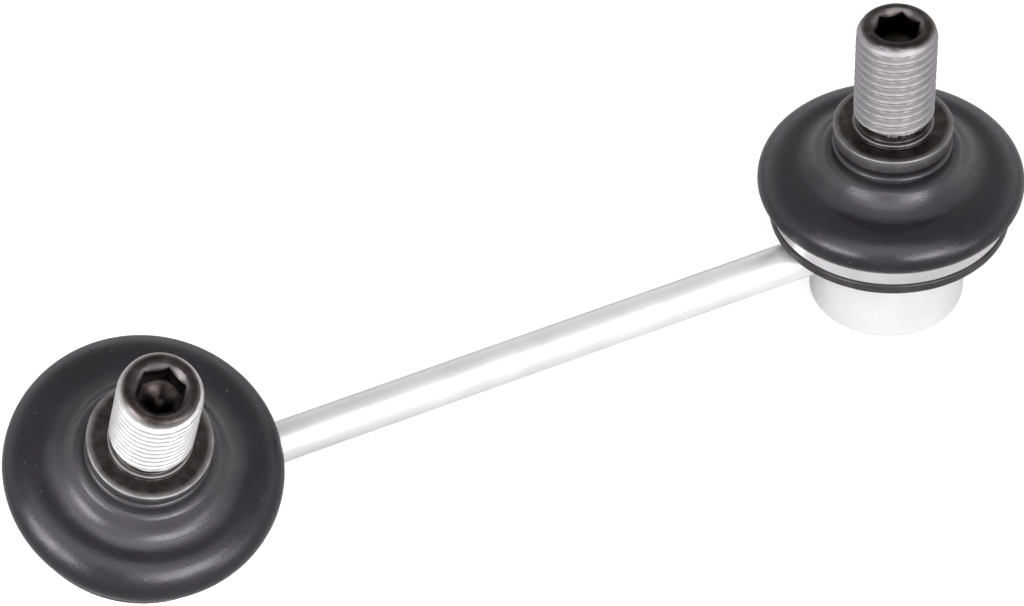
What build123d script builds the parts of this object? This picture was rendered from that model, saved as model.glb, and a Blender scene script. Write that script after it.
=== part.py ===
from build123d import *
import os
from math import acos, asin, cos, degrees, radians, sin, sqrt, tan

# A stabilizer link: a rod with a ball joint welded to each end, the left joint twisted about the rod.
# Lengths are in millimetres and angles in degrees. Heights along a joint count from its ball's centre.
# The origin is the centre of the right joint's base face, +Z runs up its stud and +X along the rod.

# The link as a whole
joint_spacing = 102.0
left_twist = 25.0
rod_diameter = 5.0
weld_leg = 1.7
weld_hollow = 0.3

# How far a stud swings about each of its two axes, and the room its neck has left beyond that
swing = 14.0
swing_margin = 3.0

# Ball stud, with a metric fine thread and a hexagon socket for the key that holds it
ball_diameter = 15.0
ball_flat_diameter = 4.0
neck_diameter = 8.4
neck_length = 3.6
neck_fillet = 0.8
journal_diameter = 10.0
journal_cone_length = 1.6
collar_diameter = 14.9
collar_thickness = 1.9
collar_edge = 0.2
step_height = 0.5
relief_diameter = 8.8
relief_length = 1.1
thread_diameter = 10.0
thread_reach = 15.8
stud_end_diameter = 8.0
stud_end_length = 1.8
socket_across_flats = 5.0
socket_turn = -10.0
socket_depth = 3.5
socket_countersink = 0.35
drill_diameter = 4.8
drill_point_angle = 118.0

# Ball seat, a slotted plastic liner
seat_wall = 0.95
seat_rim = 0.5
seat_chamfer = 0.35
seat_slots = 4
seat_slot_width = 0.8
grease_well_diameter = 4.4

# Housing, a turned cup whose lower edge is rolled over the end cover
housing_wall = 1.28
housing_lip = 1.3
mouth_undercut = 1.45
mouth_chamfer = 0.5
ring_ledge = 0.4
rolled_edge = 0.5
rolled_overlap = 1.1
rolled_radius = 0.9

# End cover, a pressed disc with a raised middle that the link stands on
cover_thickness = 1.2
cover_flank = 0.7
cover_play = 0.3
cover_proud = 0.16

# Ring pressed on the housing for the boot's foot, and the band around the foot
ring_above_rod = 0.3
ring_thickness = 1.4
ring_edge = 0.3
sleeve_wall = 0.9
sleeve_height = 2.9
band_setback = 0.15
band_thickness = 0.7
band_height = 2.2
band_edge = 0.2

# Dust boot; its crown is flat between the rim's brow and the flare, which takes the rest of the width
boot_wall = 1.4
foot_play = 1.03
foot_width = 2.6
rim_overhang = 1.55
rim_rise = 0.55
rim_lower_radius = 1.5
rim_upper_radius = 2.56
rim_slope = 50.0
brow_radius = 4.6
crown_flat_share = 0.12
flare_share = 0.59
flare_slope = 50.0
shoulder_ledge = 0.5
neck_wall = 1.05
neck_groove = 0.4
lip_height = 0.9
lip_projection = 0.55
collar_gap = 0.8

# Split ring in the boot's neck, in which the stud turns
neck_ring_wall = 0.55
neck_ring_height = 3.2
neck_ring_slot = 0.8

# Clearances: where a ball or a journal runs, where a piece is pressed in, and beside rubber
running_clearance = 0.05
press_clearance = 0.02
rubber_clearance = 0.3

# Radii, heights and angles that follow from the sizes above
ball_radius = ball_diameter / 2
neck_radius = neck_diameter / 2
journal_radius = journal_diameter / 2
collar_radius = collar_diameter / 2
thread_radius = thread_diameter / 2
rod_radius = rod_diameter / 2
bowl_radius = ball_radius + running_clearance
seat_radius = bowl_radius + seat_wall
cavity_radius = seat_radius + press_clearance
housing_radius = cavity_radius + housing_wall
full_swing = degrees(acos(cos(radians(swing)) ** 2))
mouth_angle = 90 - full_swing - swing_margin - degrees(asin(neck_radius / ball_radius))
seat_mouth_height = bowl_radius * sin(radians(mouth_angle))
seat_top = seat_mouth_height + seat_rim
seat_bottom = -seat_radius
cover_top = seat_bottom - press_clearance
cover_rim_bottom = cover_top - cover_thickness
housing_bottom = cover_rim_bottom - press_clearance - rolled_edge
housing_lip_bottom = seat_top + press_clearance
housing_top = housing_lip_bottom + housing_lip
rolled_bore_radius = cavity_radius - rolled_overlap
base_depth = cover_proud - housing_bottom
ring_height = rod_radius + ring_above_rod
ring_top = ring_height + ring_thickness
ring_fit_radius = housing_radius - ring_ledge
ring_bore_radius = ring_fit_radius + press_clearance
sleeve_radius = ring_bore_radius + sleeve_wall
foot_bore_radius = sleeve_radius + foot_play
foot_radius = foot_bore_radius + foot_width
band_bore_radius = foot_radius + rubber_clearance
band_radius = band_bore_radius + band_thickness
band_top = ring_top + band_height
ring_radius = band_radius + band_setback
rim_radius = ring_radius + rim_overhang
rim_underside = band_top + rim_rise
rim_height = rim_underside + rim_lower_radius
journal_bore_radius = journal_radius + running_clearance
boot_bore_radius = journal_bore_radius + neck_ring_wall + rubber_clearance
boot_neck_radius = boot_bore_radius + neck_wall
brow_offset = brow_radius - rim_upper_radius
brow_center_radius = rim_radius - rim_upper_radius - brow_offset * sin(radians(rim_slope))
brow_center_height = rim_height - brow_offset * cos(radians(rim_slope))
crown_height = brow_center_height + brow_radius
crown_inner_radius = boot_neck_radius + shoulder_ledge
flare_width = (brow_center_radius - crown_inner_radius) * (1 - crown_flat_share)
flare_radius = flare_share * flare_width / sin(radians(flare_slope))
shoulder_radius = (1 - flare_share) * flare_width / sin(radians(flare_slope))
shoulder_top = crown_height + (flare_radius + shoulder_radius) * (1 - cos(radians(flare_slope)))
lip_bottom = shoulder_top + neck_groove
boot_top = lip_bottom + lip_height
collar_underside = boot_top + collar_gap
collar_face_height = collar_underside + collar_thickness
stud_top = collar_face_height + thread_reach

# A joint's plane lies through its ball's centre, with X along the rod from the joint and Z up its stud
left_joint = Plane(
    origin=(-joint_spacing, 0, base_depth),
    x_dir=(1, 0, 0),
    z_dir=(0, -sin(radians(left_twist)), cos(radians(left_twist))),
)
right_joint = Plane(origin=(0, 0, base_depth), x_dir=(-1, 0, 0), z_dir=(0, 0, 1))


def side_view(joint):
    """The plane for a joint's turned profiles: radius to the right, height up."""
    return Plane(origin=joint.origin, x_dir=joint.x_dir, z_dir=-joint.y_dir)


def stud_axis(joint):
    return Axis(joint.origin, joint.z_dir)


def make_ball_stud(joint):
    flat_radius = ball_flat_diameter / 2
    flat_height = -sqrt(ball_radius**2 - flat_radius**2)
    neck_bottom = sqrt(ball_radius**2 - neck_radius**2)
    neck_top = neck_bottom + neck_length
    step_top = collar_face_height + step_height
    relief_radius = relief_diameter / 2
    relief_top = step_top + relief_length
    end_radius = stud_end_diameter / 2
    socket_radius = socket_across_flats / 2
    socket_mouth = socket_radius / cos(radians(30)) + socket_countersink
    socket_floor = stud_top - socket_depth
    drill_radius = drill_diameter / 2
    drill_tip = socket_floor - drill_radius / tan(radians(drill_point_angle / 2))
    with BuildPart() as stud:
        with BuildSketch(side_view(joint)) as profile:
            with BuildLine():
                Polyline((0, stud_top), (0, flat_height), (flat_radius, flat_height))
                ThreePointArc((flat_radius, flat_height), (ball_radius, 0), (neck_radius, neck_bottom))
                Polyline(
                    (neck_radius, neck_bottom),
                    (neck_radius, neck_top),
                    (journal_radius, neck_top + journal_cone_length),
                    (journal_radius, collar_underside),
                    (collar_radius - collar_edge, collar_underside),
                    (collar_radius, collar_underside + collar_edge),
                    (collar_radius, collar_face_height - collar_edge),
                    (collar_radius - collar_edge, collar_face_height),
                    (thread_radius, collar_face_height),
                    (thread_radius, step_top),
                    (relief_radius, step_top),
                    (relief_radius, relief_top),
                    (thread_radius, relief_top),
                    (thread_radius, stud_top - stud_end_length),
                )
                TangentArc(
                    (thread_radius, stud_top - stud_end_length), (end_radius, stud_top), tangent=(0, 1)
                )
                Line((end_radius, stud_top), (0, stud_top))
            make_face()
            waist = profile.vertices().sort_by_distance((neck_radius, neck_bottom))[0]
            fillet(waist, radius=neck_fillet)
        revolve(axis=stud_axis(joint))
        with BuildSketch(joint.offset(stud_top)):
            RegularPolygon(radius=socket_radius, side_count=6, major_radius=False, rotation=socket_turn)
        extrude(amount=-socket_depth, mode=Mode.SUBTRACT)
        with BuildSketch(side_view(joint)):
            Polygon((0, stud_top), (socket_mouth, stud_top), (0, stud_top - socket_mouth), align=None)
            Polygon((0, socket_floor), (drill_radius, socket_floor), (0, drill_tip), align=None)
        revolve(axis=stud_axis(joint), mode=Mode.SUBTRACT)
    return stud.part


def make_ball_seat(joint):
    """The liner grips the ball above its middle, and its slots let it open over the ball."""
    mouth_radius = bowl_radius * cos(radians(mouth_angle))
    well_radius = grease_well_diameter / 2
    well_top = -sqrt(bowl_radius**2 - well_radius**2)
    with BuildPart() as seat:
        with BuildSketch(side_view(joint)):
            with BuildLine():
                Line((well_radius, seat_bottom), (well_radius, well_top))
                ThreePointArc(
                    (well_radius, well_top), (bowl_radius, 0), (mouth_radius, seat_mouth_height)
                )
                Polyline(
                    (mouth_radius, seat_mouth_height),
                    (mouth_radius + seat_rim, seat_top),
                    (seat_radius - seat_chamfer, seat_top),
                    (seat_radius, seat_top - seat_chamfer),
                    (seat_radius, seat_bottom + seat_chamfer),
                    (seat_radius - seat_chamfer, seat_bottom),
                    (well_radius, seat_bottom),
                )
            make_face()
        revolve(axis=stud_axis(joint))
        with BuildSketch(joint):
            with PolarLocations(seat_radius, seat_slots):
                Rectangle(seat_radius, seat_slot_width)
        extrude(amount=seat_top, mode=Mode.SUBTRACT)
    return seat.part


def make_housing(joint):
    """Its lip holds the seat in, its ledge stops the pressed-on ring, its rolled edge holds the cover."""
    mouth_radius = cavity_radius - mouth_undercut
    with BuildPart() as housing:
        with BuildSketch(side_view(joint)) as profile:
            Polygon(
                (rolled_bore_radius, housing_bottom),
                (housing_radius, housing_bottom),
                (housing_radius, ring_height),
                (ring_fit_radius, ring_height),
                (ring_fit_radius, housing_top),
                (mouth_radius, housing_top),
                (mouth_radius, housing_lip_bottom),
                (cavity_radius, housing_lip_bottom),
                (cavity_radius, housing_bottom + rolled_edge),
                (rolled_bore_radius, housing_bottom + rolled_edge),
                align=None,
            )
            corners = profile.vertices().filter_by(lambda corner: abs(corner.Y - housing_top) < mouth_chamfer)
            chamfer(corners, length=mouth_chamfer)
            foot = profile.vertices().sort_by_distance((housing_radius, housing_bottom))[0]
            fillet(foot, radius=rolled_radius)
        revolve(axis=stud_axis(joint))
    return housing.part


def make_end_cover(joint):
    """The pressed middle reaches through the rolled edge down to the base face."""
    cover_step = base_depth + cover_rim_bottom
    flank_radius = rolled_bore_radius - cover_play
    base_radius = flank_radius - cover_flank
    dish_radius = base_radius - cover_thickness / 2
    rim = cavity_radius - press_clearance
    with BuildPart() as cover:
        with BuildSketch(side_view(joint)):
            Polygon(
                (0, cover_top - cover_step),
                (dish_radius, cover_top - cover_step),
                (dish_radius + cover_flank, cover_top),
                (rim, cover_top),
                (rim, cover_rim_bottom),
                (flank_radius, cover_rim_bottom),
                (base_radius, -base_depth),
                (0, -base_depth),
                align=None,
            )
        revolve(axis=stud_axis(joint))
    return cover.part


def make_boot_seat_ring(joint):
    sleeve_top = ring_height + sleeve_height
    with BuildPart() as ring:
        with BuildSketch(side_view(joint)) as profile:
            Polygon(
                (ring_bore_radius, ring_height),
                (ring_radius, ring_height),
                (ring_radius, ring_top),
                (sleeve_radius, ring_top),
                (sleeve_radius, sleeve_top),
                (ring_bore_radius, sleeve_top),
                align=None,
            )
            outer_edge = profile.vertices().filter_by(lambda corner: corner.X > band_radius)
            fillet(outer_edge, radius=ring_edge)
        revolve(axis=stud_axis(joint))
    return ring.part


def make_boot_clamp_band(joint):
    with BuildPart() as band:
        with BuildSketch(side_view(joint)) as profile:
            with Locations((band_bore_radius, ring_top)):
                Rectangle(band_thickness, band_height, align=Align.MIN)
            chamfer(profile.vertices(), length=band_edge)
        revolve(axis=stud_axis(joint))
    return band.part


def make_dust_boot(joint):
    """A skirt of even wall: foot in the band, rounded rim, flat crown, flare, shoulder, neck and lip."""
    foot_bottom = ring_top + rubber_clearance
    rim_lower_center = (rim_radius - rim_lower_radius, rim_height)
    rim_upper_center = (rim_radius - rim_upper_radius, rim_height)
    brow_center = (brow_center_radius, brow_center_height)
    flare_center = (crown_inner_radius + flare_width, crown_height + flare_radius)
    shoulder_center = (crown_inner_radius, shoulder_top - shoulder_radius)
    inner_crown_height = crown_height - boot_wall
    inner_shoulder_top = shoulder_top - boot_wall
    rim_normal = 90 - rim_slope
    flare_normal = 90 - flare_slope
    with BuildPart() as boot:
        with BuildSketch(side_view(joint)):
            with BuildLine():
                Polyline(
                    (foot_bore_radius, foot_bottom),
                    (foot_radius, foot_bottom),
                    (foot_radius, rim_underside),
                    (rim_lower_center[0], rim_underside),
                )
                CenterArc(rim_lower_center, rim_lower_radius, start_angle=-90, arc_size=90)
                CenterArc(rim_upper_center, rim_upper_radius, start_angle=0, arc_size=rim_normal)
                CenterArc(brow_center, brow_radius, start_angle=rim_normal, arc_size=rim_slope)
                Line((brow_center_radius, crown_height), (flare_center[0], crown_height))
                CenterArc(flare_center, flare_radius, start_angle=-90, arc_size=-flare_slope)
                CenterArc(shoulder_center, shoulder_radius, start_angle=flare_normal, arc_size=flare_slope)
                Polyline(
                    (crown_inner_radius, shoulder_top),
                    (boot_neck_radius, shoulder_top),
                    (boot_neck_radius, lip_bottom),
                )
                ThreePointArc(
                    (boot_neck_radius, lip_bottom),
                    (boot_neck_radius + lip_projection, boot_top - lip_height / 2),
                    (boot_neck_radius, boot_top),
                )
                Polyline(
                    (boot_neck_radius, boot_top),
                    (boot_bore_radius, boot_top),
                    (boot_bore_radius, inner_shoulder_top),
                    (crown_inner_radius, inner_shoulder_top),
                )
                CenterArc(
                    shoulder_center, shoulder_radius - boot_wall, start_angle=90, arc_size=-flare_slope
                )
                CenterArc(
                    flare_center, flare_radius + boot_wall, start_angle=-90 - flare_slope, arc_size=flare_slope
                )
                Line((flare_center[0], inner_crown_height), (brow_center_radius, inner_crown_height))
                CenterArc(brow_center, brow_radius - boot_wall, start_angle=90, arc_size=-rim_slope)
                CenterArc(
                    rim_upper_center,
                    rim_upper_radius - boot_wall,
                    start_angle=rim_normal,
                    arc_size=-rim_normal,
                )
                Polyline(
                    (rim_radius - boot_wall, rim_height),
                    (foot_bore_radius, rim_underside),
                    (foot_bore_radius, foot_bottom),
                )
            make_face()
        revolve(axis=stud_axis(joint))
    return boot.part


def make_neck_ring(joint):
    """The slot lets the ring open over the ball."""
    ring_bottom = boot_top - neck_ring_height
    outer_radius = journal_bore_radius + neck_ring_wall
    with BuildPart() as ring:
        with BuildSketch(joint.offset(ring_bottom)):
            Circle(outer_radius)
            Circle(journal_bore_radius, mode=Mode.SUBTRACT)
            Rectangle(outer_radius, neck_ring_slot, align=(Align.MIN, Align.CENTER), mode=Mode.SUBTRACT)
        extrude(amount=neck_ring_height)
    return ring.part


def make_weld(joint):
    """A hollow fillet around the rod's end, cut to the housing's side and below the pressed-on ring."""
    heel_radius = rod_radius + weld_leg
    heel = sqrt(housing_radius**2 - heel_radius**2)
    toe = housing_radius + weld_leg
    hollow = ((heel + toe) / 2 - weld_hollow, (rod_radius + heel_radius) / 2 - weld_hollow)
    with BuildPart() as weld:
        with BuildSketch(side_view(joint)):
            with BuildLine():
                Polyline((toe, rod_radius), (heel, rod_radius), (heel, heel_radius))
                ThreePointArc((heel, heel_radius), hollow, (toe, rod_radius))
            make_face()
        revolve(axis=Axis(joint.origin, joint.x_dir))
        with BuildSketch(joint.offset(-base_depth)):
            Circle(housing_radius)
        extrude(amount=2 * base_depth, mode=Mode.SUBTRACT)
        split(bisect_by=joint.offset(ring_height), keep=Keep.BOTTOM)
    return weld.part


def make_rod():
    """Each end is hollowed to the side of its housing."""
    with BuildPart() as rod:
        with BuildSketch(Plane(origin=left_joint.origin, z_dir=left_joint.x_dir)):
            Circle(rod_radius)
        extrude(amount=joint_spacing)
        for joint in (left_joint, right_joint):
            with BuildSketch(joint.offset(-base_depth)):
                Circle(housing_radius)
            extrude(amount=2 * base_depth, mode=Mode.SUBTRACT)
    return rod.part


def save(part, name):
    part.label = name
    export_step(part, f"parts/{name}.step")


joint_parts = {
    "ball_stud": make_ball_stud,
    "ball_seat": make_ball_seat,
    "housing": make_housing,
    "end_cover": make_end_cover,
    "boot_seat_ring": make_boot_seat_ring,
    "boot_clamp_band": make_boot_clamp_band,
    "dust_boot": make_dust_boot,
    "neck_ring": make_neck_ring,
    "weld": make_weld,
}

os.makedirs("parts", exist_ok=True)
for side, joint in (("left", left_joint), ("right", right_joint)):
    for part_name, make in joint_parts.items():
        save(make(joint), f"{side}_{part_name}")
save(make_rod(), "rod")
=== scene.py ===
"""Dresses a stabilizer link: threads and key sockets on its studs, rubber boots and worn metal.

The link stands with both studs up, and its left joint is twisted about the rod. Lengths that a class holds
as fields are in millimetres unless they say otherwise, and meshes are stored in metres in the row's frame.
"""

import logging
import math
from dataclasses import dataclass, field
from enum import Enum

import bmesh
import bpy
import numpy as np
from mathutils import Matrix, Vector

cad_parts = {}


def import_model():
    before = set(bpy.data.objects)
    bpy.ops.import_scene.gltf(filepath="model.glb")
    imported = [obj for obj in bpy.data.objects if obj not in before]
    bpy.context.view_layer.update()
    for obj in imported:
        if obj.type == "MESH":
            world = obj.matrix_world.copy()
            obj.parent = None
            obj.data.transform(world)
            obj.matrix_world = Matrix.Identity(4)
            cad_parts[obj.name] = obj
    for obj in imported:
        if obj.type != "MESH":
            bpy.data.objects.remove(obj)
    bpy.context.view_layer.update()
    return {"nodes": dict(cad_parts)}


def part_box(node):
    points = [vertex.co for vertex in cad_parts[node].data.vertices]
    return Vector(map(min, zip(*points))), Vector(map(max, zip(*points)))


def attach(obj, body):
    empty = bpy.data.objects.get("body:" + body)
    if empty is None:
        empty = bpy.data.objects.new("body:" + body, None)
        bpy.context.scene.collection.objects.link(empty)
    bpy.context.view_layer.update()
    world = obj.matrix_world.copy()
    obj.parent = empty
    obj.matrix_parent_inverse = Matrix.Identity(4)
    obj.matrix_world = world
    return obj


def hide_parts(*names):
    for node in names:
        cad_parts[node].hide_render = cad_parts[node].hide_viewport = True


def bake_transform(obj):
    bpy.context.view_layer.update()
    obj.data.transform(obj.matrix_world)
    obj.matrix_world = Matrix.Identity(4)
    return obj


LOG = logging.getLogger("stabilizer_link")
MILLIMETRE = 0.001
TURN = 2.0 * math.pi
SHARP_ANGLE = math.radians(35.0)  # edges sharper than this stay crisp
SAME_PLACE = 1e-7  # metres within which vertices become one
FACE_SLACK = 0.01  # millimetres by which a point may miss the face that it lies on

Colour = tuple[float, float, float]


class Side(Enum):
    """The two ends of the link."""

    LEFT = "left"
    RIGHT = "right"


@dataclass(frozen=True)
class JointFrame:
    """Where a joint is: its ball's centre, and its axes as unit vectors.

    Attributes:
        side: which end of the link.
        centre: the ball's centre, in millimetres.
        along: the direction along the rod, away from the joint.
        up: the direction up the stud.
    """

    side: Side
    centre: tuple[float, float, float]
    along: tuple[float, float, float]
    up: tuple[float, float, float]

    def node(self, piece: str) -> str:
        """The name of this joint's node or body for a piece.

        Args:
            piece: the name without its side.
        """
        return f"{self.side.value}_{piece}"

    def place(self, points: np.ndarray) -> np.ndarray:
        """Carries points from the joint's own axes to the row's frame.

        Args:
            points: x, y, z in millimetres, with heights counted from the ball's centre.

        Returns:
            The same points in metres, in the row's frame.
        """
        along, up = np.array(self.along), np.array(self.up)
        axes = np.array([along, np.cross(up, along), up])
        return (np.array(self.centre) + points @ axes) * MILLIMETRE

    def point(self, height: float) -> tuple[float, float, float]:
        """The point on the stud's axis at a height, in metres.

        Args:
            height: millimetres above the ball's centre.
        """
        return tuple(float(value) for value in self.place(np.array([0.0, 0.0, height])))


JOINT_SPACING = 102.0
BALL_HEIGHT = 10.4
LEFT_TWIST = math.radians(25.0)
LEFT_JOINT = JointFrame(
    Side.LEFT,
    (-JOINT_SPACING, 0.0, BALL_HEIGHT),
    (1.0, 0.0, 0.0),
    (0.0, -math.sin(LEFT_TWIST), math.cos(LEFT_TWIST)),
)
RIGHT_JOINT = JointFrame(Side.RIGHT, (0.0, 0.0, BALL_HEIGHT), (-1.0, 0.0, 0.0), (0.0, 0.0, 1.0))


def smooth_step(values: np.ndarray, low: float, high: float) -> np.ndarray:
    """Rises from 0 at low to 1 at high as three t squared minus two t cubed.

    Args:
        values: where to work it out.
        low: the value at which it starts to rise.
        high: the value from which it is 1.
    """
    t = np.clip((values - low) / (high - low), 0.0, 1.0)
    return t * t * (3.0 - 2.0 * t)


def round_corners(points: list[tuple[float, float]], radii: dict[int, float], steps: int = 5) -> np.ndarray:
    """Replaces corners of a profile by arcs.

    An arc starts and ends at radius / tan(half the corner's angle) from its corner, and its points are an
    even turn about its own centre.

    Args:
        points: the profile's corners, as radius and height.
        radii: the arc's radius for each corner's index.
        steps: how many steps an arc takes.

    Returns:
        The rounded profile, one row per point.
    """
    corners = np.array(points, float)
    rows: list[np.ndarray] = []
    for index, corner in enumerate(corners):
        if index not in radii:
            rows.append(corner[None])
            continue
        back, ahead = corners[index - 1] - corner, corners[index + 1] - corner
        back, ahead = back / np.linalg.norm(back), ahead / np.linalg.norm(ahead)
        half = math.acos(float(np.clip(back @ ahead, -1.0, 1.0))) / 2.0
        middle = (back + ahead) / np.linalg.norm(back + ahead)
        centre = corner + middle * radii[index] / math.sin(half)
        start = corner + back * radii[index] / math.tan(half) - centre
        end = corner + ahead * radii[index] / math.tan(half) - centre
        sweep = math.acos(float(np.clip(start @ end / (start @ start), -1.0, 1.0)))
        share = np.linspace(0.0, 1.0, steps + 1)[:, None]
        turned = np.sin((1.0 - share) * sweep) * start + np.sin(share * sweep) * end
        rows.append(centre + turned / math.sin(sweep))
    return np.concatenate(rows)


def arc(centre: tuple[float, float], radius: float, first: float, last: float, step: float) -> np.ndarray:
    """Points on an arc with both ends, where an angle's point is centre + radius (cos angle, sin angle).

    Args:
        centre: radius and height of the arc's centre.
        radius: the arc's radius, below 0 for an arc on the centre's far side.
        first: the first angle in degrees.
        last: the last angle in degrees.
        step: the largest step between points, in degrees.
    """
    count = math.ceil(abs(last - first) / step) + 1
    angle = np.radians(np.linspace(first, last, count))[:, None]
    return np.array(centre) + radius * np.concatenate([np.cos(angle), np.sin(angle)], axis=1)


def cut_at(path: np.ndarray, height: float) -> tuple[np.ndarray, np.ndarray]:
    """Cuts a path where it first falls to a height.

    Args:
        path: radius and height of each point, starting above the height.
        height: where to cut.

    Returns:
        The upper and the lower part, which share the point on the cut.
    """
    below = int(np.flatnonzero(path[:, 1] < height)[0])
    high, low = path[below - 1], path[below]
    point = (high + (high[1] - height) / (high[1] - low[1]) * (low - high))[None]
    return np.concatenate([path[:below], point]), np.concatenate([point, path[below:]])


def densify(profile: np.ndarray, longest: float) -> np.ndarray:
    """Divides a profile's long steps evenly, so that no step is longer than a length.

    Args:
        profile: radius and height of each point.
        longest: the longest step that stays.
    """
    lengths = np.linalg.norm(np.diff(profile, axis=0), axis=1)
    steps = np.maximum(1, np.ceil(lengths / longest)).astype(int)
    spans = [
        profile[i] + np.arange(count)[:, None] / count * (profile[i + 1] - profile[i])
        for i, count in enumerate(steps)
    ]
    return np.concatenate([*spans, profile[-1:]])


@dataclass
class TurnedSurface:
    """A surface around a joint's axis: each row is a ring whose radius and height may vary with the angle.

    A point is (radius cos angle, radius sin angle, height) in the joint's own axes. The outside faces
    outwards where the rows run upwards.

    Attributes:
        radius: rows by angles.
        height: rows by angles.
        first_angle: the first column's angle, in radians.
        closed: whether the last row joins the first, as on a hollow ring.
        tones: named values, rows by angles, that the finishes read.
    """

    radius: np.ndarray
    height: np.ndarray
    first_angle: float = 0.0
    closed: bool = False
    tones: dict[str, np.ndarray] = field(default_factory=dict)

    @classmethod
    def of_ring(cls, profile: np.ndarray, columns: int) -> "TurnedSurface":
        """Turns a closed profile about the axis, with the same radius and height at every angle.

        Args:
            profile: radius and height of each row.
            columns: how many angles.
        """
        shape = np.ones((1, columns))
        return cls(profile[:, :1] * shape, profile[:, 1:] * shape, closed=True)

    def build(self, name: str, joint: JointFrame) -> bpy.types.Object:
        """Makes the mesh object, with a single vertex where a row has no radius.

        Args:
            name: the object's name.
            joint: the joint that it stands on.

        Returns:
            The new object, linked to the scene.
        """
        rows, columns = self.radius.shape
        angle = self.first_angle + np.arange(columns) * TURN / columns
        points = np.stack([self.radius * np.cos(angle), self.radius * np.sin(angle), self.height], axis=-1)
        index = np.arange(rows * columns).reshape(rows, columns)
        below = index if self.closed else index[:-1]
        above = np.roll(index, -1, axis=0) if self.closed else index[1:]
        quads = np.stack([below, np.roll(below, -1, axis=1), np.roll(above, -1, axis=1), above], axis=-1)
        mesh = bpy.data.meshes.new(name)
        mesh.from_pydata(joint.place(points.reshape(-1, 3)), [], quads.reshape(-1, 4).tolist())
        for tone, values in self.tones.items():
            layer = mesh.attributes.new(tone, "FLOAT", "POINT")
            layer.data.foreach_set("value", values.astype(np.float32).ravel())
        finish_mesh(mesh)
        piece = bpy.data.objects.new(name, mesh)
        bpy.context.scene.collection.objects.link(piece)
        return piece


def finish_mesh(mesh: bpy.types.Mesh) -> None:
    """Merges coincident vertices, drops collapsed faces and shades smooth between sharp edges.

    Args:
        mesh: the mesh to finish.
    """
    work = bmesh.new()
    work.from_mesh(mesh)
    bmesh.ops.remove_doubles(work, verts=work.verts, dist=SAME_PLACE)
    bmesh.ops.dissolve_degenerate(work, edges=work.edges, dist=SAME_PLACE)
    work.to_mesh(mesh)
    work.free()
    mesh.shade_smooth()
    mesh.set_sharp_from_angle(angle=SHARP_ANGLE)


def map_range(
    tree: bpy.types.NodeTree,
    source: bpy.types.NodeSocket,
    low: float,
    high: float,
    to_low: float,
    to_high: float,
) -> bpy.types.NodeSocket:
    """Maps a range of a value onto another, and holds it at both ends.

    Args:
        tree: the node tree.
        source: the value.
        low: where the range starts.
        high: where it ends.
        to_low: the result at the start.
        to_high: the result at the end.

    Returns:
        The result's socket.
    """
    node = tree.nodes.new("ShaderNodeMapRange")
    tree.links.new(source, node.inputs["Value"])
    for name, value in (("From Min", low), ("From Max", high), ("To Min", to_low), ("To Max", to_high)):
        node.inputs[name].default_value = value
    return node.outputs["Result"]


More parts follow.
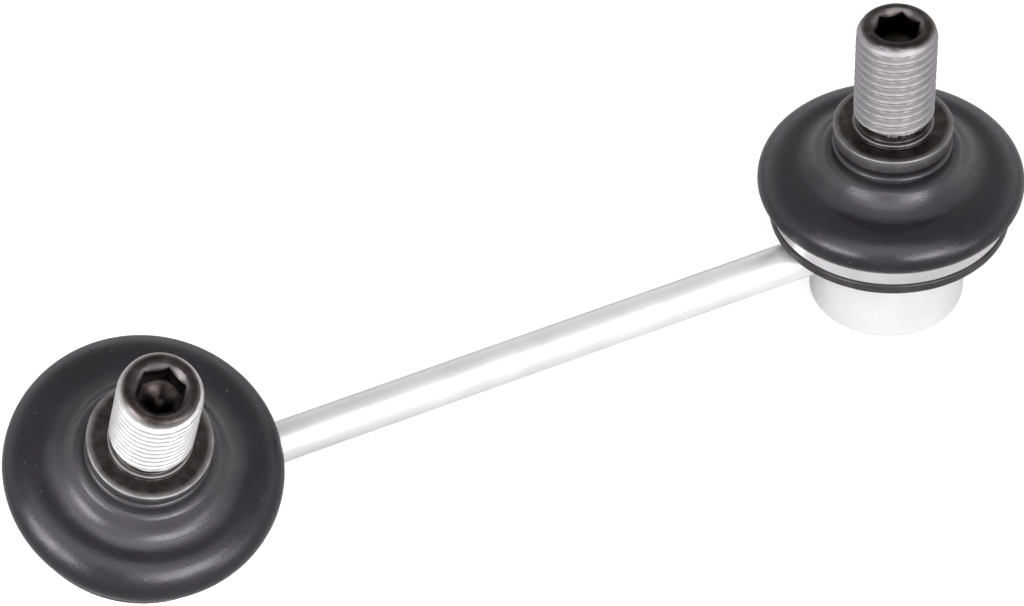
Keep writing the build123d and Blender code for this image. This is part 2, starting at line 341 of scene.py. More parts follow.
class Recipe:
    """A material's node tree, with short calls for the nodes that the finishes share."""

    def __init__(self, name: str) -> None:
        """Starts an empty material with a Principled shader.

        Args:
            name: the material's name.
        """
        self.material = bpy.data.materials.new(name)
        self.material.use_nodes = True
        self.tree = self.material.node_tree
        self.tree.nodes.clear()
        self.shader = self.tree.nodes.new("ShaderNodeBsdfPrincipled")
        output = self.tree.nodes.new("ShaderNodeOutputMaterial")
        self.tree.links.new(self.shader.outputs["BSDF"], output.inputs["Surface"])
        self.place = self.tree.nodes.new("ShaderNodeTexCoord").outputs["Object"]

    def set(self, **values: float | Colour) -> None:
        """Sets the shader's sockets to constants.

        Args:
            values: a socket's name with underscores for spaces, and its value.
        """
        for name, value in values.items():
            socket = self.shader.inputs[name.replace("_", " ")]
            socket.default_value = (*value, 1.0) if isinstance(value, tuple) else value

    def link(self, source: bpy.types.NodeSocket, name: str) -> None:
        """Links a socket to one of the shader's inputs.

        Args:
            source: the output socket.
            name: the shader's input.
        """
        self.tree.links.new(source, self.shader.inputs[name])

    def tone(self, name: str) -> bpy.types.NodeSocket:
        """Reads one of the mesh's named values.

        Args:
            name: the value's name.
        """
        node = self.tree.nodes.new("ShaderNodeAttribute")
        node.attribute_name = name
        return node.outputs["Fac"]

    def noise(self, per_metre: float, detail: float) -> bpy.types.NodeSocket:
        """Noise over the piece's own place.

        Args:
            per_metre: how many cells a metre holds.
            detail: how many finer layers it adds.
        """
        node = self.tree.nodes.new("ShaderNodeTexNoise")
        node.inputs["Scale"].default_value = per_metre
        node.inputs["Detail"].default_value = detail
        self.tree.links.new(self.place, node.inputs["Vector"])
        return node.outputs["Fac"]

    def span(self, source: bpy.types.NodeSocket, *limits: float) -> bpy.types.NodeSocket:
        """Maps a range of a value onto another, and holds it at both ends.

        Args:
            source: the value.
            limits: where the range starts and ends, and the results there.
        """
        return map_range(self.tree, source, *limits)

    def sum(self, first: bpy.types.NodeSocket, second: bpy.types.NodeSocket) -> bpy.types.NodeSocket:
        """Adds two values and holds the sum between 0 and 1.

        Args:
            first: a value.
            second: another value.
        """
        node = self.tree.nodes.new("ShaderNodeMath")
        node.operation = "ADD"
        node.use_clamp = True
        self.tree.links.new(first, node.inputs[0])
        self.tree.links.new(second, node.inputs[1])
        return node.outputs["Value"]

    def blend(self, share: bpy.types.NodeSocket, *stops: tuple[float, Colour]) -> bpy.types.NodeSocket:
        """Turns a value into a colour.

        Args:
            share: the value.
            stops: places from 0 to 1, each with its colour.
        """
        node = self.tree.nodes.new("ShaderNodeValToRGB")
        ramp = node.color_ramp
        for element, (place, colour) in zip(ramp.elements, stops[:2]):
            element.position, element.color = place, (*colour, 1.0)
        for place, colour in stops[2:]:
            ramp.elements.new(place).color = (*colour, 1.0)
        self.tree.links.new(share, node.inputs["Fac"])
        return node.outputs["Color"]

    def bump(self, height: bpy.types.NodeSocket, depth: float, strength: float) -> None:
        """Roughens the surface.

        Args:
            height: the height, from 0 to 1.
            depth: how many metres a height of 1 stands for.
            strength: how much of it shows.
        """
        node = self.tree.nodes.new("ShaderNodeBump")
        node.inputs["Strength"].default_value = strength
        node.inputs["Distance"].default_value = depth
        self.tree.links.new(height, node.inputs["Height"])
        self.link(node.outputs["Normal"], "Normal")


@dataclass(frozen=True)
class PlatedFinish:
    """Smooth zinc plating with faint clouds and handling marks.

    Attributes:
        name: the material's name.
        bright: the plating's colour.
        dull: its colour in the clouds.
        gloss: the lowest and highest roughness.
        metal: how metallic it is, where the rest is pale passivation.
    """

    name: str
    bright: Colour
    dull: Colour
    gloss: tuple[float, float]
    metal: float = 1.0

    def make(self) -> bpy.types.Material:
        """Builds the material: clouds tint it, and finer noise varies its roughness and relief."""
        recipe = Recipe(self.name)
        recipe.set(Metallic=self.metal)
        clouds = recipe.noise(per_metre=160.0, detail=4.0)
        recipe.link(recipe.blend(clouds, (0.35, self.dull), (0.65, self.bright)), "Base Color")
        grain = recipe.noise(per_metre=1400.0, detail=3.0)
        recipe.link(recipe.span(recipe.sum(grain, clouds), 0.6, 1.0, *self.gloss), "Roughness")
        recipe.bump(recipe.noise(per_metre=2600.0, detail=4.0), depth=0.00002, strength=0.35)
        return recipe.material


@dataclass(frozen=True)
class CoatedFinish:
    """A dark phosphate or oxide coat, rubbed brighter in places.

    Attributes:
        name: the material's name.
        coat: the coat's colour.
        rubbed: its colour where it is rubbed.
        gloss: the lowest and highest roughness.
        metal: how metallic it is, from 0 to 1.
    """

    name: str
    coat: Colour
    rubbed: Colour
    gloss: tuple[float, float]
    metal: float

    def make(self) -> bpy.types.Material:
        """Builds the material: large clouds rub the coat, and fine grain roughens it."""
        recipe = Recipe(self.name)
        recipe.set(Metallic=self.metal)
        clouds = recipe.noise(per_metre=240.0, detail=5.0)
        recipe.link(recipe.blend(clouds, (0.4, self.coat), (0.72, self.rubbed)), "Base Color")
        recipe.link(recipe.span(clouds, 0.3, 0.7, *self.gloss), "Roughness")
        recipe.bump(recipe.noise(per_metre=5200.0, detail=3.0), depth=0.00003, strength=0.5)
        return recipe.material


@dataclass(frozen=True)
class StudFinish:
    """Bright metal on thread and edges, and a dark coat where the mesh's own value says so; that value also
    carries painted shade in the thread's roots and the socket.

    Attributes:
        name: the material's name.
        bright: the bare metal.
        stained: the metal between bare and coated.
        coat: the dark coat.
        hollow: painted shade in the depth of the socket, darker than the coat.
    """

    name: str
    bright: Colour
    stained: Colour
    coat: Colour
    hollow: Colour

    def make(self) -> bpy.types.Material:
        """Builds the material: the coat's share, with its painted shade, comes from the mesh, broken up by
        noise.
        """
        recipe = Recipe(self.name)
        recipe.set(Metallic=1.0)
        stains = recipe.noise(per_metre=700.0, detail=5.0)
        share = recipe.sum(recipe.tone("coat"), recipe.span(stains, 0.3, 0.7, -0.08, 0.06))
        # a share near 1 gives the socket's painted shade
        colour = recipe.blend(
            share, (0.08, self.bright), (1.0, self.hollow), (0.45, self.stained), (0.82, self.coat)
        )
        recipe.link(colour, "Base Color")
        recipe.link(recipe.span(share, 0.15, 0.7, 0.58, 0.3), "Roughness")
        recipe.bump(recipe.noise(per_metre=4200.0, detail=4.0), depth=0.00003, strength=0.4)
        return recipe.material


@dataclass(frozen=True)
class RubberFinish:
    """Satin moulded rubber with a soft bloom, fine grain and a few specks of dust.

    Attributes:
        name: the material's name.
        deep: the rubber's colour.
        cloudy: its colour in the clouds.
        bloom: its colour around the neck, where the mesh's own value says that the bloom lies.
        dust: the specks' colour.
    """

    name: str
    deep: Colour
    cloudy: Colour
    bloom: Colour
    dust: Colour

    def make(self) -> bpy.types.Material:
        """Builds the material: bloom, rare specks from a sparse noise, and a fine moulded grain."""
        recipe = Recipe(self.name)
        recipe.set(Specular_IOR_Level=0.5, Specular_Tint=(0.97, 0.95, 1.0))
        clouds = recipe.span(recipe.noise(per_metre=110.0, detail=5.0), 0.35, 0.7, 0.0, 0.4)
        share = recipe.sum(clouds, recipe.span(recipe.tone("bloom"), 0.0, 1.0, 0.0, 0.6))
        body = recipe.blend(share, (0.0, self.deep), (1.0, self.bloom), (0.35, self.cloudy))
        specks = recipe.span(recipe.noise(per_metre=1900.0, detail=1.0), 0.76, 0.8, 0.0, 0.75)
        mix = recipe.tree.nodes.new("ShaderNodeMix")
        mix.data_type = "RGBA"
        mix.inputs["B"].default_value = (*self.dust, 1.0)
        recipe.tree.links.new(specks, mix.inputs["Factor"])
        recipe.tree.links.new(body, mix.inputs["A"])
        recipe.link(mix.outputs["Result"], "Base Color")
        smears = recipe.noise(per_metre=420.0, detail=4.0)
        recipe.link(recipe.span(smears, 0.3, 0.7, 0.24, 0.34), "Roughness")
        recipe.bump(recipe.noise(per_metre=3000.0, detail=5.0), depth=0.00004, strength=0.5)
        return recipe.material


@dataclass(frozen=True)
class PlasticFinish:
    """Plain satin plastic.

    Attributes:
        name: the material's name.
        pale: its colour.
        warm: its colour in the clouds.
    """

    name: str
    pale: Colour
    warm: Colour

    def make(self) -> bpy.types.Material:
        """Builds the material: faint clouds and a fine grain."""
        recipe = Recipe(self.name)
        recipe.set(Subsurface_Weight=0.1)
        clouds = recipe.noise(per_metre=200.0, detail=2.0)
        recipe.link(recipe.blend(clouds, (0.3, self.pale), (0.7, self.warm)), "Base Color")
        recipe.link(recipe.span(clouds, 0.3, 0.7, 0.32, 0.42), "Roughness")
        recipe.bump(recipe.noise(per_metre=2400.0, detail=3.0), depth=0.00002, strength=0.4)
        return recipe.material


@dataclass(frozen=True)
class Finishes:
    """The link's finishes, each built once. The left stud's steel is a lighter copy of the right one's:
    painted light.
    """

    zinc: bpy.types.Material
    band: bpy.types.Material
    cover: bpy.types.Material
    ring: bpy.types.Material
    studs: dict[Side, bpy.types.Material]
    rubber: bpy.types.Material
    acetal: bpy.types.Material

    @classmethod
    def make(cls) -> "Finishes":
        """Builds all the materials."""
        return cls(
            band=PlatedFinish(
                "band_steel", bright=(0.84, 0.82, 0.84), dull=(0.74, 0.72, 0.74), gloss=(0.24, 0.36)
            ).make(),
            zinc=PlatedFinish(
                "zinc_plating",
                bright=(0.84, 0.84, 0.84),
                dull=(0.78, 0.78, 0.78),
                gloss=(0.3, 0.4),
                metal=0.62,
            ).make(),
            cover=PlatedFinish(
                "pressed_zinc", bright=(0.66, 0.65, 0.62), dull=(0.56, 0.55, 0.51), gloss=(0.28, 0.42)
            ).make(),
            ring=CoatedFinish(
                "phosphate_coat",
                coat=(0.03, 0.028, 0.028),
                rubbed=(0.07, 0.066, 0.066),
                gloss=(0.34, 0.48),
                metal=0.6,
            ).make(),
            # lit and shaded copies of one steel: the left stud's lighter bare colour is painted light
            studs={
                side: StudFinish(
                    f"{side.value}_stud_steel_lit_per_side",
                    bright=bare,
                    stained=(0.2, 0.187, 0.19),
                    coat=(0.05, 0.04, 0.038),
                    hollow=(0.008, 0.006, 0.006),
                ).make()
                for side, bare in ((Side.LEFT, (0.52, 0.507, 0.515)), (Side.RIGHT, (0.36, 0.345, 0.36)))
            },
            rubber=RubberFinish(
                "boot_rubber",
                deep=(0.004, 0.0034, 0.006),
                cloudy=(0.009, 0.008, 0.012),
                bloom=(0.054, 0.052, 0.057),
                dust=(0.1, 0.1, 0.1),
            ).make(),
            acetal=PlasticFinish("natural_acetal", pale=(0.8, 0.79, 0.73), warm=(0.76, 0.74, 0.66)).make(),
        )


@dataclass(frozen=True)
class StudCoat:
    """How much dark coat the parts of a stud carry, from 0 for bare metal to 1; painted shade in the
    thread's roots and the socket's depth uses the same scale.

    Attributes:
        ball: on the ball and the neck.
        journal: on the length that turns in the neck ring, up to the collar's underside.
        collar_side: on the collar's side.
        collar_edge: on the collar's upper edge.
        collar_face: on the collar's top and the step's side.
        step_edge: on the step's edge.
        groove: on the step's top and the groove.
        crest: on the thread's crests.
        root: the painted shade that the thread's roots get beyond their crests' coat.
        rounding: what the rounded end gains up to its face.
        end: on each row from the end face to the drill's tip, where the socket's walls and floor are painted
            shade.
    """

    ball: float = 0.25
    journal: float = 0.82
    collar_side: float = 0.49
    collar_edge: float = 0.4
    collar_face: float = 0.82
    step_edge: float = 0.35
    groove: float = 0.75
    crest: float = 0.1
    # painted shade in the thread's roots
    root: float = 0.04
    rounding: float = 0.72
    # the rows from the socket's walls down to the drill's tip are painted shade
    end: tuple[float, ...] = (0.82, 0.75, 0.58, 0.92, 1.0, 1.0, 1.0, 0.92, 0.9, 0.97, 1.0)


@dataclass
class ThreadedStud:
    """A ball stud: ball, neck, journal, collar, step, groove, thread, rounded end and key socket.

    Attributes:
        neck_lead: how far above the ball the neck's first row lies.
        step_excess: how far the step stands out over the thread.
        root_flat: the share of a half pitch that the thread's root takes.
        flank: the share that its flank takes.
        softness: how much of the flank is bent to an S.
        chamfer: how fast the thread grows from the groove, as radius over height.
        rounding_start: how far above its start the rounded end begins to darken.
        collar_rub: how far the collar's edge is rubbed, in radii of that edge.
        step_rub: how far the step's edge is rubbed.
        journal_length: how far the coat reaches down from the collar.
    """

    ball_radius: float = 7.5
    ball_flat: float = 2.0
    neck_radius: float = 4.2
    neck_length: float = 3.6
    neck_lead: float = 0.4
    neck_bend: float = 1.2
    journal_radius: float = 5.0
    journal_cone: float = 1.6
    journal_bend: float = 1.0
    journal_length: float = 4.5
    collar_radius: float = 7.45
    collar_bottom: float = 15.92
    collar_top: float = 17.82
    collar_edge: float = 0.2
    collar_root: float = 0.12
    collar_rub: float = 1.2
    step_excess: float = 0.02
    step_top: float = 18.32
    step_edge: float = 0.1
    step_rub: float = 0.2
    groove_radius: float = 4.4
    groove_root: float = 0.16
    groove_top: float = 19.42
    thread_radius: float = 5.0
    thread_pitch: float = 1.25
    thread_depth: float = 0.62
    root_flat: float = 0.16
    flank: float = 0.66
    softness: float = 0.45
    chamfer: float = 0.9
    round_start: float = 31.82
    rounding_start: float = 1.0
    end_radius: float = 4.0
    stud_top: float = 33.62
    socket_radius: float = 2.5
    socket_turn: float = math.radians(-10.0)
    socket_depth: float = 3.5
    countersink: float = 0.35
    drill_radius: float = 2.4
    drill_angle: float = math.radians(59.0)
    columns: int = 144
    ball_rows: int = 60
    foot_row: float = 0.8
    rows_per_turn: int = 18
    end_rows: int = 22
    coats: StudCoat = StudCoat()

    def angles(self) -> np.ndarray:
        """The columns' angles, with a column on each corner of the socket."""
        return self.socket_turn + np.arange(self.columns) * TURN / self.columns

    def foot(self) -> np.ndarray:
        """The profile from the ball's flat up to the top of the groove, with rounded edges."""
        lowest = -math.acos(self.ball_flat / self.ball_radius)
        highest = math.acos(self.neck_radius / self.ball_radius)
        turn = np.linspace(lowest, highest, self.ball_rows)[:, None]
        ball = self.ball_radius * np.concatenate([np.cos(turn), np.sin(turn)], axis=1)
        neck_top = ball[-1, 1] + self.neck_length
        step_radius = self.thread_radius + self.step_excess
        corners = [
            (self.neck_radius, float(ball[-1, 1]) + self.neck_lead),
            (self.neck_radius, neck_top),
            (self.journal_radius, neck_top + self.journal_cone),
            (self.journal_radius, self.collar_bottom),
            (self.collar_radius, self.collar_bottom),
            (self.collar_radius, self.collar_top),
            (step_radius, self.collar_top),
            (step_radius, self.step_top),
            (self.groove_radius, self.step_top),
            (self.groove_radius, self.groove_top),
        ]
        edges = {
            1: self.neck_bend,
            2: self.journal_bend,
            4: self.collar_edge,
            5: self.collar_edge,
            6: self.collar_root,
            7: self.step_edge,
            8: self.groove_root,
        }
        shank = densify(round_corners(corners, edges, steps=4), self.foot_row)
        return np.concatenate([[[0.0, ball[0, 1]]], ball, shank])

    def thread(self) -> tuple[np.ndarray, np.ndarray, np.ndarray]:
        """The threaded length and the rounded end.

        The depth below the crest is a triangle wave of height / pitch - angle / turn with flattened crests
        and roots and softened flanks. The radius is the smallest of that helix, a chamfer at the groove and
        the end's arc.

        Returns:
            Radius, height and how deep in the thread each point is, from 0 to 1.
        """
        rise, fall = self.stud_top - self.round_start, self.thread_radius - self.end_radius
        bend = (rise**2 + fall**2) / (2.0 * fall)
        tilt = np.linspace(0.0, math.asin(rise / bend), self.end_rows)
        turns = (self.round_start - self.groove_top) / self.thread_pitch
        straight = np.linspace(self.groove_top, self.round_start, int(turns * self.rows_per_turn))
        height = np.concatenate([straight[:-1], self.round_start + bend * np.sin(tilt)])[:, None]
        shank = np.full(len(straight) - 1, self.thread_radius)
        outer = np.concatenate([shank, self.thread_radius - bend * (1.0 - np.cos(tilt))])[:, None]
        phase = height / self.thread_pitch - self.angles()[None] / TURN
        wave = np.abs(2.0 * (phase - np.floor(phase)) - 1.0)
        raised = np.clip((wave - self.root_flat) / self.flank, 0.0, 1.0)
        raised = (1.0 - self.softness) * raised + self.softness * smooth_step(raised, 0.0, 1.0)
        helix = self.thread_radius - self.thread_depth * (1.0 - raised)
        lead_in = self.groove_radius + self.chamfer * (height - self.groove_top)
        radius = np.minimum(helix, np.minimum(lead_in, outer))
        return radius, height * np.ones_like(radius), 1.0 - raised

    def socket(self) -> tuple[np.ndarray, np.ndarray]:
        """The end face and the key socket, from the face's edge to the drill's tip.

        The hexagon's radius at an angle is its apothem / cos(the angle from the nearest flat's middle), and
        the countersink meets it on a 45 degree cone.

        Returns:
            Radius and height, rows by angles.
        """
        sixth = math.pi / 3.0
        to_flat = np.mod(self.angles() - self.socket_turn, sixth) - sixth / 2.0
        hexagon = self.socket_radius / np.cos(to_flat)
        even = np.ones_like(hexagon)
        mouth = self.socket_radius / math.cos(math.pi / 6.0) + self.countersink
        floor = self.stud_top - self.socket_depth
        tip = floor - self.drill_radius / math.tan(self.drill_angle)
        lip = self.stud_top - (mouth - hexagon)
        drill = np.minimum(self.drill_radius, hexagon)
        walls = ((hexagon, lip + share * (floor - lip)) for share in (0.0, 0.33, 0.66))
        point = (
            (share * drill, floor + (1.0 - share) * (tip - floor) * even)
            for share in (1.0, 0.66, 0.33, 0.0)
        )
        rows = [
            (0.5 * (self.end_radius + mouth) * even, self.stud_top * even),
            (mouth * even, self.stud_top * even),
            (0.5 * (mouth + hexagon), 0.5 * (self.stud_top + lip)),
            *walls,
            (hexagon, floor * even),
            *point,
        ]
        return np.stack([row[0] for row in rows]), np.stack([row[1] for row in rows])

    def coat(self, radius: np.ndarray, height: np.ndarray) -> np.ndarray:
        """How much dark coat lies on the foot, where the first place that fits a point counts.

        Args:
            radius: radius of each point.
            height: height of each point.
        """
        to_collar_edge = np.hypot(radius - self.collar_radius, height - self.collar_top)
        to_step_edge = np.hypot(radius - self.thread_radius, height - self.step_top)
        over_bottom = height > self.collar_bottom + 0.5 * self.collar_edge
        coats = self.coats
        places = (
            (to_collar_edge < self.collar_rub * self.collar_edge, coats.collar_edge),
            (to_step_edge < self.step_rub, coats.step_edge),
            (height > self.step_top - FACE_SLACK, coats.groove),
            (height > self.collar_top - FACE_SLACK, coats.collar_face),
            (over_bottom & (radius > self.collar_radius - self.collar_edge), coats.collar_side),
            (height > self.collar_bottom - self.journal_length, coats.journal),
        )
        return np.select([place for place, _ in places], [share for _, share in places], coats.ball)

    def build(self, joint: JointFrame, finish: bpy.types.Material) -> None:
        """Makes the stud in one closed mesh, which turns with its own body.

        Args:
            joint: the joint that it belongs to.
            finish: the stud's material.
        """
        even = np.ones((1, self.columns))
        foot = self.foot()
        foot_radius, foot_height = foot[:, :1] * even, foot[:, 1:] * even
        thread_radius, thread_height, depth = self.thread()
        end_radius, end_height = self.socket()
        rising = smooth_step(thread_height, self.round_start + self.rounding_start, self.stud_top)
        coats = self.coats
        # the thread's coat, with painted shade added deeper in its roots
        thread_coat_and_root_shade = np.clip(coats.crest + coats.root * depth + coats.rounding * rising, 0.0, 1.0)
        # the end's rows carry the socket's painted shade
        foot_coat, end_coat_and_socket_shade = self.coat(foot_radius, foot_height), np.array(coats.end)[:, None] * even
        surface = TurnedSurface(
            np.concatenate([foot_radius, thread_radius, end_radius]),
            np.concatenate([foot_height, thread_height, end_height]),
            first_angle=self.socket_turn,
            tones={"coat": np.concatenate([foot_coat, thread_coat_and_root_shade, end_coat_and_socket_shade])},
        )
        piece = surface.build(joint.node("threaded_stud"), joint)
        piece.data.materials.append(finish)
        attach(piece, joint.node("stud"))
        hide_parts(joint.node("ball_stud"))
        LOG.info("%s: %d faces", piece.name, len(piece.data.polygons))


@dataclass
class DustBoot:
    """The rubber boot, in a skirt and a cuff that meet on a level ring.

    The outside follows the solid's, and the wall is thin from the flare up, which leaves the swinging neck
    ring its room.

    Attributes:
        brow: the radius of the arc between rim and crown.
        slope: how steep the flank between flare and shoulder is, in degrees.
        neck_drop: how far the shoulder falls towards the neck.
        bloom_reach: the radii between which the bloom fades.
        outer_turn: the largest step on the outside's arcs, in degrees.
        inner_turn: the same inside.
        outer_row: the longest step between the outside's rows.
        inner_row: the same inside.
    """

    wall: float = 1.4
    thin_wall: float = 0.7
    foot_bore: float = 11.35
    foot_radius: float = 13.95
    foot_bottom: float = 4.5
    rim_radius: float = 16.65
    rim_underside: float = 6.95
    rim_lower: float = 1.5
    rim_upper: float = 2.56
    brow: float = 4.6
    crown_outer: float = 11.918
    flare: float = 3.441
    flank: float = 0.5
    shoulder: float = 1.2
    slope: float = 50.0
    neck_radius: float = 6.95
    neck_drop: float = 0.05
    neck_bend: float = 0.12
    lip_bottom: float = 14.22
    lip_projection: float = 0.55
    lip_rows: int = 13
    top: float = 15.12
    bore: float = 5.9
    seam: float = 12.0
    skirt_bends_from: float = 5.5
    cuff_bends_to: float = 13.2
    bloom_reach: tuple[float, float] = (10.6, 12.9)
    columns: int = 192
    outer_turn: float = 3.0
    inner_turn: float = 6.0
    outer_row: float = 0.35
    inner_row: float = 0.5

    def rounds(self) -> list[tuple[tuple[float, float], float, float, float]]:
        """The rounded stretches of the outside from the rim up: centre, radius, first and last angle."""
        rim_height = self.rim_underside + self.rim_lower
        offset, slope = self.brow - self.rim_upper, math.radians(self.slope)
        brow_radius = self.rim_radius - self.rim_upper - offset * math.sin(slope)
        brow = (brow_radius, rim_height - offset * math.cos(slope))
        crown = brow[1] + self.brow
        bends = self.flare + self.shoulder
        shoulder_top = crown + bends * (1.0 - math.cos(slope)) + self.flank * math.tan(slope)
        shoulder_inner = self.crown_outer - bends * math.sin(slope) - self.flank
        normal = 90.0 - self.slope
        return [
            ((self.rim_radius - self.rim_lower, rim_height), self.rim_lower, -90.0, 0.0),
            ((self.rim_radius - self.rim_upper, rim_height), self.rim_upper, 0.0, normal),
            (brow, self.brow, normal, 90.0),
            ((self.crown_outer, crown + self.flare), -self.flare, 90.0, normal),
            ((shoulder_inner, shoulder_top - self.shoulder), self.shoulder, normal, 90.0),
        ]

    def outside(self) -> np.ndarray:
        """The outer profile, from the foot up over the rim, crown, flare and shoulder to the lip's top."""
        rounds = self.rounds()
        shoulder, shoulder_top = rounds[-1][0][0], rounds[-1][0][1] + rounds[-1][1]
        half = 0.5 * (self.top - self.lip_bottom)
        turn = np.linspace(-0.5 * math.pi, 0.5 * math.pi, self.lip_rows)[:, None]
        lip = np.array([self.neck_radius, self.lip_bottom + half]) + np.concatenate(
            [self.lip_projection * np.cos(turn), half * np.sin(turn)], axis=1
        )
        neck_top = (self.neck_radius, shoulder_top - self.neck_drop)
        neck = round_corners([(shoulder, shoulder_top), neck_top, tuple(lip[0])], {1: self.neck_bend})
        foot = [[self.foot_radius, self.foot_bottom], [self.foot_radius, self.rim_underside]]
        arcs = [arc(*stretch, self.outer_turn) for stretch in rounds]
        return np.concatenate([foot, *arcs, neck[1:-1], lip])

    def inside(self) -> np.ndarray:
        """The inner profile, from the neck's top down to the foot, a wall's thickness within the outside."""
        walls = (self.thin_wall, self.thin_wall, self.wall, self.wall)
        stretches = [
            arc(centre, radius - wall, last, first, self.inner_turn)
            for (centre, radius, first, last), wall in zip(self.rounds()[:0:-1], walls)
        ]
        neck = [[self.bore, self.top], [self.bore, stretches[0][0, 1]]]
        foot = [[self.foot_bore, self.rim_underside], [self.foot_bore, self.foot_bottom]]
        return np.concatenate([neck, *stretches, foot])

    def halves(self) -> tuple[np.ndarray, np.ndarray]:
        """Both closed profiles, cut through the flare at the seam's height.

        Returns:
            The skirt's and the cuff's profile.
        """
        outer_cuff, outer_skirt = cut_at(densify(self.outside()[::-1], self.outer_row), self.seam)
        inner_cuff, inner_skirt = cut_at(densify(self.inside(), self.inner_row), self.seam)
        skirt = np.concatenate([outer_skirt[::-1], inner_skirt])
        return skirt, np.concatenate([outer_cuff[::-1], inner_cuff])

    def build(self, joint: JointFrame, finish: bpy.types.Material) -> None:
        """Makes the skirt and the cuff.

        Args:
            joint: the joint that they belong to.
            finish: the rubber.
        """
        surfaces = [TurnedSurface.of_ring(profile, self.columns) for profile in self.halves()]
        for surface in surfaces:
            surface.tones["bloom"] = 1.0 - smooth_step(surface.radius, *self.bloom_reach)
        skirt = surfaces[0].build(joint.node("boot_skirt"), joint)
        cuff = surfaces[1].build(joint.node("boot_cuff"), joint)
        joint.point(self.skirt_bends_from)
        joint.point(self.seam)
        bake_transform(skirt)
        joint.point(self.seam)
        joint.point(self.cuff_bends_to)
        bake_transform(cuff)
        for piece in (skirt, cuff):
            piece.data.materials.append(finish)
            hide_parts(joint.node("dust_boot"))
            LOG.info("%s: %d faces", piece.name, len(piece.data.polygons))


@dataclass
class LinkMetal:
    """The pieces that keep the shape they were built with, and only take a finish."""

    nodes: dict[str, bpy.types.Object]

    def dress(self, piece: str, finish: bpy.types.Material) -> None:
        """Gives both joints' pieces of a kind their finish.

        Args:
            piece: the piece's name without its side.
            finish: the material.
        """
        for joint in (LEFT_JOINT, RIGHT_JOINT):
            self.coat(joint.node(piece), finish)

    def coat(self, node: str, finish: bpy.types.Material) -> None:
        """Gives one node its finish.

        Args:
            node: the node's name.
            finish: the material.
        """
        slots = self.nodes[node].material_slots
        if slots:
            slots[0].material = finish
        else:
            self.nodes[node].data.materials.append(finish)
        LOG.info("%s: %s", node, finish.name)


@dataclass(frozen=True)
class SoftBox:
    """A soft box that faces the link.

    Attributes:
        name: the light's name.
        azimuth: its direction from the link, in degrees from +X towards +Y.
        elevation: its height above the horizon, in degrees.
        distance: metres from the link.
        size: its width and height in metres.
        radiance: how bright its face is, where 1 is white.
    """

    name: str
    azimuth: float
    elevation: float
    distance: float
    size: tuple[float, float]
    radiance: float

    def hang(self, middle: tuple[float, float, float]) -> None:
        """Adds the light to the scene.

        Args:
            middle: the point that it faces, in metres.
        """
        data = bpy.data.lights.new(self.name, "AREA")
        data.shape = "RECTANGLE"
        data.size, data.size_y = self.size
        data.energy = self.radiance * math.pi * self.size[0] * self.size[1]
        light = bpy.data.objects.new(self.name, data)
        turn, rise = math.radians(self.azimuth), math.radians(self.elevation)
        level = math.cos(rise)
        back = np.array([level * math.cos(turn), level * math.sin(turn), math.sin(rise)])
        side = np.cross([0.0, 0.0, 1.0], back)
        side /= np.linalg.norm(side)
        axes = Matrix((side, np.cross(back, side), back)).transposed().to_4x4()
        light.matrix_world = Matrix.Translation(np.array(middle) + self.distance * back) @ axes
        bpy.context.scene.collection.objects.link(light)


BOXES = (
    SoftBox("left_box", azimuth=-160.0, elevation=24.0, distance=1.2, size=(0.7, 0.42), radiance=9.0),
    SoftBox("right_box", azimuth=-84.0, elevation=25.0, distance=1.2, size=(0.7, 0.42), radiance=9.5),
    SoftBox("side_box", azimuth=-60.0, elevation=4.0, distance=1.2, size=(0.35, 0.4), radiance=4.0),
    SoftBox("front_box", azimuth=-120.0, elevation=54.0, distance=1.3, size=(1.9, 0.75), radiance=1.9),
)


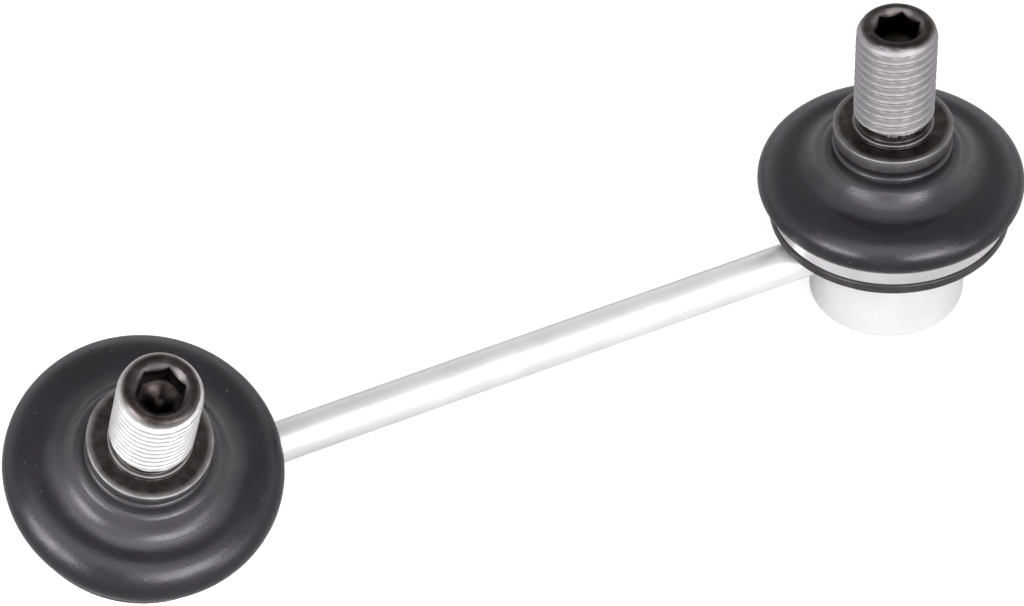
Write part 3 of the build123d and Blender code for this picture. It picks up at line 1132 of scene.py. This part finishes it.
@dataclass
class Studio:
    """The white floor, the bright surroundings and the camera. Lengths are in metres.

    Attributes:
        view: the camera's place.
        right: the camera's right direction.
        above: its up direction.
        back: the direction from the scene to it.
        focal_length: in millimetres.
        sensor_width: in millimetres.
        middle: the point that the lights face.
        floor_reach: how far the floor reaches to each side.
        floor_gap: how far the floor lies under the housings.
        floor_white: how much light the floor gives back.
        floor_glow: what the floor adds of its own where the camera sees it.
        sky_low: how bright reflections see the surroundings near the horizon.
        sky_high: how bright they see them high up.
        sky_heights: the upward shares between which the one turns into the other.
        sky_light: how bright the surroundings are as light.
    """

    view: tuple[float, float, float] = (-0.20427, -0.346239, 0.389442)
    right: tuple[float, float, float] = (0.904233, -0.426157, -0.027433)
    above: tuple[float, float, float] = (0.315759, 0.623975, 0.714809)
    back: tuple[float, float, float] = (-0.287503, -0.655016, 0.698782)
    focal_length: float = 153.19
    sensor_width: float = 36.0
    middle: tuple[float, float, float] = (-0.05, 0.0, 0.015)
    floor_reach: float = 3.0
    floor_gap: float = 0.0002
    floor_white: float = 0.78
    floor_glow: float = 0.6
    sky_low: float = 1.0
    sky_high: float = 0.46
    sky_heights: tuple[float, float] = (0.3, 0.6)
    sky_light: float = 0.15

    def add_camera(self) -> None:
        """Stands the camera where the photograph was taken."""
        data = bpy.data.cameras.new("view")
        data.lens = self.focal_length
        data.sensor_width = self.sensor_width
        data.sensor_fit = "HORIZONTAL"
        data.clip_start = 0.01
        camera = bpy.data.objects.new("view", data)
        axes = Matrix((self.right, self.above, self.back)).transposed().to_4x4()
        camera.matrix_world = Matrix.Translation(self.view) @ axes
        bpy.context.scene.collection.objects.link(camera)
        bpy.context.scene.camera = camera

    def add_floor(self) -> None:
        """Lays the floor under both joints: level across the rod and rising towards the right joint."""
        low_end = 0.5 * (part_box("left_housing")[0].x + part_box("left_housing")[1].x)
        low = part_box("left_housing")[0].z
        slope = -low / (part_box("right_housing")[1].x - low_end)
        reach = self.floor_reach
        corners = [
            (self.middle[0] + x, y, low + (self.middle[0] + x - low_end) * slope - self.floor_gap)
            for x, y in ((-reach, -reach), (reach, -reach), (reach, reach), (-reach, reach))
        ]
        mesh = bpy.data.meshes.new("floor")
        mesh.from_pydata(corners, [], [(0, 1, 2, 3)])
        mesh.materials.append(self.floor_finish())
        floor = bpy.data.objects.new("floor", mesh)
        bpy.context.scene.collection.objects.link(floor)

    def floor_finish(self) -> bpy.types.Material:
        """White card that keeps soft shadows: part of its white is its own where the camera sees it."""
        recipe = Recipe("white_floor")
        recipe.set(Base_Color=(self.floor_white,) * 3, Roughness=0.9, Specular_IOR_Level=0.1)
        recipe.set(Emission_Color=(1.0, 1.0, 1.0))
        rays = recipe.tree.nodes.new("ShaderNodeLightPath").outputs
        glow = recipe.span(rays["Is Camera Ray"], 0.0, 1.0, 0.0, self.floor_glow)
        recipe.link(glow, "Emission Strength")
        return recipe.material

    def add_surroundings(self) -> None:
        """White where the camera sees past the floor, dimmer high up in reflections, and dim as light."""
        world = bpy.data.worlds.new("surroundings")
        bpy.context.scene.world = world
        world.use_nodes = True
        tree = world.node_tree
        tree.nodes.clear()
        rays = tree.nodes.new("ShaderNodeLightPath").outputs
        direction = tree.nodes.new("ShaderNodeSeparateXYZ")
        place = tree.nodes.new("ShaderNodeTexCoord").outputs["Generated"]
        tree.links.new(place, direction.inputs["Vector"])
        upward = direction.outputs["Z"]
        reflected = map_range(tree, upward, *self.sky_heights, self.sky_low, self.sky_high)
        level = self.add_share(tree, rays["Is Camera Ray"], 1.0 - self.sky_light, self.sky_light)
        level = self.add_share(tree, rays["Is Glossy Ray"], reflected, level)
        sky = tree.nodes.new("ShaderNodeBackground")
        sky.inputs["Color"].default_value = (1.0, 1.0, 1.0, 1.0)
        tree.links.new(level, sky.inputs["Strength"])
        output = tree.nodes.new("ShaderNodeOutputWorld")
        tree.links.new(sky.outputs["Background"], output.inputs["Surface"])

    @staticmethod
    def add_share(
        tree: bpy.types.NodeTree,
        ray: bpy.types.NodeSocket,
        share: float | bpy.types.NodeSocket,
        base: float | bpy.types.NodeSocket,
    ) -> bpy.types.NodeSocket:
        """Adds what a kind of ray adds to a base value.

        Args:
            tree: the node tree.
            ray: 1 for rays of that kind, and 0 for others.
            share: what a ray of that kind adds.
            base: the value without it.

        Returns:
            The sum's socket.
        """
        node = tree.nodes.new("ShaderNodeMath")
        node.operation = "MULTIPLY_ADD"
        for socket, value in zip(node.inputs, (ray, share, base)):
            if isinstance(value, float):
                socket.default_value = value
            else:
                tree.links.new(value, socket)
        return node.outputs["Value"]

    def build(self) -> None:
        """Sets the whole studio up."""
        self.add_floor()
        self.add_surroundings()
        for box in BOXES:
            box.hang(self.middle)
        self.add_camera()
        bpy.context.scene.view_settings.view_transform = "Standard"
        LOG.info("studio ready")


def main() -> None:
    """Builds the link piece by piece."""
    logging.basicConfig(level=logging.INFO, format="%(name)s: %(message)s")
    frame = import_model()
    finishes = Finishes.make()
    metal = LinkMetal(frame["nodes"])
    metal.coat("rod", finishes.zinc)
    for piece, finish in (
        ("weld", finishes.zinc),
        ("housing", finishes.zinc),
        ("end_cover", finishes.cover),
        ("boot_clamp_band", finishes.band),
        ("boot_seat_ring", finishes.ring),
        ("ball_seat", finishes.acetal),
        ("neck_ring", finishes.acetal),
    ):
        metal.dress(piece, finish)
    for joint in (LEFT_JOINT, RIGHT_JOINT):
        ThreadedStud().build(joint, finishes.studs[joint.side])
        DustBoot().build(joint, finishes.rubber)
    Studio().build()


if __name__ == "__main__":
    main()
